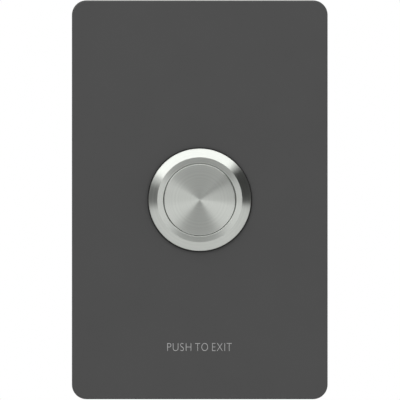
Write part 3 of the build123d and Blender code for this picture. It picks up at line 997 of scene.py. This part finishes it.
@dataclass
class WallScrews:
    """The two machine screws that hold the frame to the wall box.

    Sizes are in millimetres. The seat, the thread's start and every end are heights over the wall plane.
    """

    pitch: float = 84.0
    steps: int = 48
    crown_steps: int = 8
    sharp_degrees: float = 24.0
    head_radius: float = 3.4
    head_height: float = 2.1
    head_crown: float = 1.26
    seat: float = 1.4
    neck_radius: float = 1.55
    shank_radius: float = 1.75
    length: float = 25.0
    point: float = 0.8
    recess_width: float = 1.0
    recess_span: float = 3.8
    recess_depth: float = 1.3
    recess_draft: float = 0.72
    thread_start: float = -0.2
    thread: Thread = Thread(pitch=0.6, depth=0.36, crest=0.08, clear=0.03, overrun=0.7, steps=32)

    def build(self, shop: Workshop) -> None:
        """Makes both screws as one piece of two solids.

        Args:
            shop: the workshop.
        """
        both = joined(self.screw(Vector((0, 0, side * self.pitch / 2 * MM))) for side in (-1, 1))
        mesh = finished_mesh(both, "wall_screws", self.sharp_degrees)
        shop.add_piece("wall_screws", mesh, Body.WALL_UNIT, Slot.ZINC, ["mounting_screws"])

    def screw(self, middle: Vector) -> Mesh:
        """Turns one screw, threads it and sinks its cross recess.

        Args:
            middle: the point of its axis on the wall plane.

        Returns:
            The screw, in place.
        """
        top, end, crown = self.seat + self.head_height, self.seat - self.length, self.head_crown
        profile = [
            (0, top),
            *arc((self.head_radius - crown, top - crown), crown, 0, 90, self.crown_steps),
            (self.head_radius, self.seat),
            (self.neck_radius, self.seat),
            (self.neck_radius, 0),
            (self.shank_radius, 0),
            (self.shank_radius, end + self.point),
            (self.shank_radius - self.point, end),
            (0, end),
        ]
        blank = finished_mesh(lathe(profile, self.steps, middle), "screw", self.sharp_degrees)
        groove = self.thread.groove(self.shank_radius, self.thread_start, end, middle)
        level = self.recess_bar(middle, top, self.recess_span, self.recess_width)
        upright = self.recess_bar(middle, top, self.recess_width, self.recess_span)
        return carve(blank, (groove, level, upright))

    def recess_bar(self, middle: Vector, top: float, across: float, up: float) -> Shape:
        """Makes one bar of the cross recess, narrower at its bottom.

        Args:
            middle: the point of the screw's axis on the wall plane.
            top: the height of the head's top.
            across: the bar's width at the head's top.
            up: its other width there.

        Returns:
            The shape to cut away.
        """
        work = bmesh.new()
        bmesh.ops.create_cube(work, size=1.0)
        bmesh.ops.scale(work, verts=work.verts, vec=Vector((across, 2 * self.recess_depth, up)) * MM)
        bottom = [v for v in work.verts if v.co.y > 0]
        bmesh.ops.scale(work, verts=bottom, vec=(self.recess_draft, 1, self.recess_draft))
        bmesh.ops.translate(work, verts=work.verts, vec=middle + Vector((0, -top * MM, 0)))
        return work


@dataclass(frozen=True)
class StudioCard:
    """A soft box, flag or wall of the studio, placed round the button's axis. Angles are in degrees.

    Attributes:
        azimuth: its middle, clockwise from straight up as seen from the front.
        half_width: half of its width round the axis.
        inner: its edge nearer to the axis, from the direction of the room.
        outer: its edge further from the axis.
        soft: how wide its two side edges fade.
        level: its brightness, where 1 is white.
    """

    azimuth: float
    half_width: float
    inner: float
    outer: float
    soft: float
    level: float


@dataclass(frozen=True)
class SoftLamp:
    """A square soft lamp that faces the button, by its place and side in metres and its power in watts."""

    name: str
    place: tuple[float, float, float]
    size: float
    power: float


@dataclass
class Studio:
    """The pale floor, the plain soft light and the camera.

    The lens, the sensor and the plate's face are in millimetres, and other lengths in metres.

    Attributes:
        pixels_per_mm: the photograph's scale at the plate's face.
        plate_centre_px: the plate's middle in the photograph.
        image_px: the photograph's width and height.
        lens: the focal length.
        sensor: the sensor's width.
        clip: how near and how far the camera sees.
        plate_face: the height of the plate's face.
        floor_drop: how far the floor lies below the button's axis.
        floor_reach: how far it goes to each side.
        floor_colour: its paint.
        floor_glow: how much brighter the camera sees it, to join the white background.
        ambient: the brightness of the even light.
        room_below: what metal mirrors from straight below, where no card stands.
        room_above: what it mirrors from straight above.
        card_rim: how far a card's inner and outer edges fade to each side, in degrees.
        cards: what metal mirrors, each laid over those before it.
        lamps: the soft lamps.
    """

    pixels_per_mm: float = 3.413
    plate_centre_px: tuple[float, float] = (199.77, 199.75)
    image_px: float = 400.0
    lens: float = 200.0
    sensor: float = 36.0
    clip: tuple[float, float] = (0.05, 50.0)
    plate_face: float = 6.0
    floor_drop: float = 1.1
    floor_reach: float = 6.0
    floor_colour: str = "#E8E8E8"
    floor_glow: float = 0.7
    ambient: float = 0.63
    room_below: float = 0.45
    room_above: float = 1.05
    card_rim: float = 6.0
    cards: tuple[StudioCard, ...] = (
        StudioCard(0, ALL_ROUND, -20, 52, 12, 1.04),
        StudioCard(0, ALL_ROUND, 52, 120, 12, 0.9),
        StudioCard(0, 57, -20, 52, 22, 0.31),
        StudioCard(183, 37, -20, 49, 22, 0.42),
        StudioCard(352, 52, 52, 120, 6, 2.25),
        StudioCard(180, 44, 52, 120, 24, 1.01),
        StudioCard(78, 19, -20, 32, 14, 1.42),
        StudioCard(73, 23, 31, 120, 8, 0.0),
        StudioCard(276, 14, 46, 120, 12, 0.12),
    )
    lamps: tuple[SoftLamp, ...] = (
        SoftLamp("key", (-0.25, -0.9, 0.95), 0.9, 5.0),
        SoftLamp("fill_right", (1.0, -0.8, 0.1), 0.8, 2.0),
        SoftLamp("back", (-0.6, 0.9, 0.6), 0.8, 4.0),
    )

    def build(self) -> None:
        """Sets up the camera, the world, the lamps and the floor."""
        self.set_camera()
        self.light_world()
        self.hang_lamps()
        self.lay_floor()
        bpy.context.scene.view_settings.view_transform = "Standard"

    def set_camera(self) -> None:
        """Places a long lens straight in front of the plate, framed as the photograph is."""
        data = bpy.data.cameras.new("camera")
        data.lens = self.lens
        data.sensor_width = self.sensor
        data.sensor_fit = "HORIZONTAL"
        data.clip_start, data.clip_end = self.clip
        field = self.image_px / self.pixels_per_mm
        distance = (field * self.lens / self.sensor + self.plate_face) * MM
        half = self.image_px / 2
        across = (half - self.plate_centre_px[0]) / self.pixels_per_mm * MM
        up = -(half - self.plate_centre_px[1]) / self.pixels_per_mm * MM
        camera = add_object("camera", data)
        camera.location = (across, -distance, up)
        camera.rotation_euler = (math.pi / 2, 0, 0)
        bpy.context.scene.camera = camera

    def light_world(self) -> None:
        """Makes a white background, an even light, and the cards that the metal mirrors."""
        world = bpy.data.worlds.new("studio")
        bpy.context.scene.world = world
        world.use_nodes = True
        tree = world.node_tree
        tree.nodes.clear()
        direction = add_node(tree, "TexCoord").outputs["Generated"]
        split = add_node(tree, "SeparateXYZ", inputs={0: direction}).outputs
        roomward = add_node(tree, "Math", {"operation": "MULTIPLY"}, {0: split[1], 1: -1.0}).outputs[0]
        off_axis = add_node(tree, "Math", {"operation": "ARCCOSINE"}, {0: roomward}).outputs[0]
        flat = add_node(tree, "VectorMath", {"operation": "MULTIPLY"}, {0: direction, 1: ACROSS_AXIS})
        around = add_node(tree, "VectorMath", {"operation": "NORMALIZE"}, {0: flat.outputs[0]}).outputs[0]
        span = {0: split[2], 1: -1.0, 2: 1.0, 3: self.room_below, 4: self.room_above}
        level = add_node(tree, "MapRange", SMOOTH, span).outputs[0]
        for card in self.cards:
            level = self.lay_card(tree, card, level, around, off_axis)
        path = add_node(tree, "LightPath").outputs
        mirrored = add_node(tree, "Background", inputs={"Color": level}).outputs[0]
        even = add_node(tree, "Background", inputs={"Color": WHITE, "Strength": self.ambient}).outputs[0]
        white = add_node(tree, "Background", inputs={"Color": WHITE}).outputs[0]
        lit = add_node(tree, "MixShader", inputs={0: path["Is Glossy Ray"], 1: even, 2: mirrored}).outputs[0]
        shown = add_node(tree, "MixShader", inputs={0: path["Is Camera Ray"], 1: lit, 2: white}).outputs[0]
        add_node(tree, "OutputWorld", inputs={"Surface": shown})

    def lay_card(
        self, tree: Tree, card: StudioCard, below: Socket, around: Socket, off_axis: Socket
    ) -> Socket:
        """Lays one card over the brightness so far.

        Args:
            tree: the world's nodes.
            card: the card.
            below: the brightness under it.
            around: the direction round the axis.
            off_axis: the angle from the axis, in radians.

        Returns:
            The brightness with the card.
        """
        middle = math.radians(card.azimuth)
        towards = (math.sin(middle), 0.0, math.cos(middle))
        cosine = add_node(tree, "VectorMath", {"operation": "DOT_PRODUCT"}, {0: around, 1: towards})
        apart = add_node(tree, "Math", {"operation": "ARCCOSINE"}, {0: cosine.outputs["Value"]}).outputs[0]
        share: Socket | float = 1.0
        for angle, edge, fade, start, end in (
            (off_axis, card.inner, self.card_rim, 0.0, 1.0),
            (off_axis, card.outer, self.card_rim, 1.0, 0.0),
            (apart, card.half_width, card.soft / 2, 1.0, 0.0),
        ):
            low, high = math.radians(edge - fade), math.radians(edge + fade)
            span = {0: angle, 1: low, 2: high, 3: start, 4: end}
            covered = add_node(tree, "MapRange", SMOOTH, span).outputs[0]
            share = add_node(tree, "Math", {"operation": "MULTIPLY"}, {0: share, 1: covered}).outputs[0]
        mixed = {0: share, 2: below, 3: card.level}
        return add_node(tree, "Mix", {"data_type": "FLOAT"}, mixed).outputs[0]

    def hang_lamps(self) -> None:
        """Hangs the lamps, which light the object and don't show in it."""
        for soft in self.lamps:
            data = bpy.data.lights.new(soft.name, "AREA")
            data.shape = "SQUARE"
            data.size = soft.size
            data.energy = soft.power
            lamp = add_object(soft.name, data)
            lamp.location = soft.place
            lamp.rotation_euler = Vector(soft.place).to_track_quat("Z", "Y").to_euler()
            lamp.visible_camera = False
            lamp.visible_glossy = False

    def lay_floor(self) -> None:
        """Lays a pale floor as far below the plate as on a wall."""
        work = bmesh.new()
        bmesh.ops.create_grid(work, x_segments=1, y_segments=1, size=self.floor_reach)
        bmesh.ops.translate(work, verts=work.verts, vec=(0, 0, -self.floor_drop))
        mesh = bpy.data.meshes.new("floor")
        work.to_mesh(mesh)
        work.free()
        floor = add_object("floor", mesh)
        material = bpy.data.materials.new("pale_floor")
        material.use_nodes = True
        tree = material.node_tree
        tree.nodes.clear()
        path = add_node(tree, "LightPath").outputs
        paint = add_node(tree, "BsdfDiffuse", inputs={"Color": linear(self.floor_colour)}).outputs[0]
        glow = add_node(tree, "Emission", inputs={"Color": WHITE, "Strength": self.floor_glow}).outputs[0]
        seen = add_node(tree, "AddShader", inputs={0: paint, 1: glow}).outputs[0]
        clear = add_node(tree, "BsdfTransparent").outputs[0]
        plain = add_node(tree, "MixShader", inputs={0: path["Is Camera Ray"], 1: paint, 2: seen}).outputs[0]
        shown = add_node(tree, "MixShader", inputs={0: path["Is Glossy Ray"], 1: plain, 2: clear}).outputs[0]
        add_node(tree, "OutputMaterial", inputs={"Surface": shown})
        mesh.materials.append(material)


def main() -> None:
    """Builds the object piece by piece."""
    logging.basicConfig(level=logging.INFO, format="%(name)s: %(message)s")
    Studio().build()
    shop = Workshop()
    WallPlate().build(shop)
    PushSwitch().build(shop)
    RETURN_SPRING.build(shop)
    CONTACT_SPRING.build(shop)
    WallScrews().build(shop)


if __name__ == "__main__":
    main()
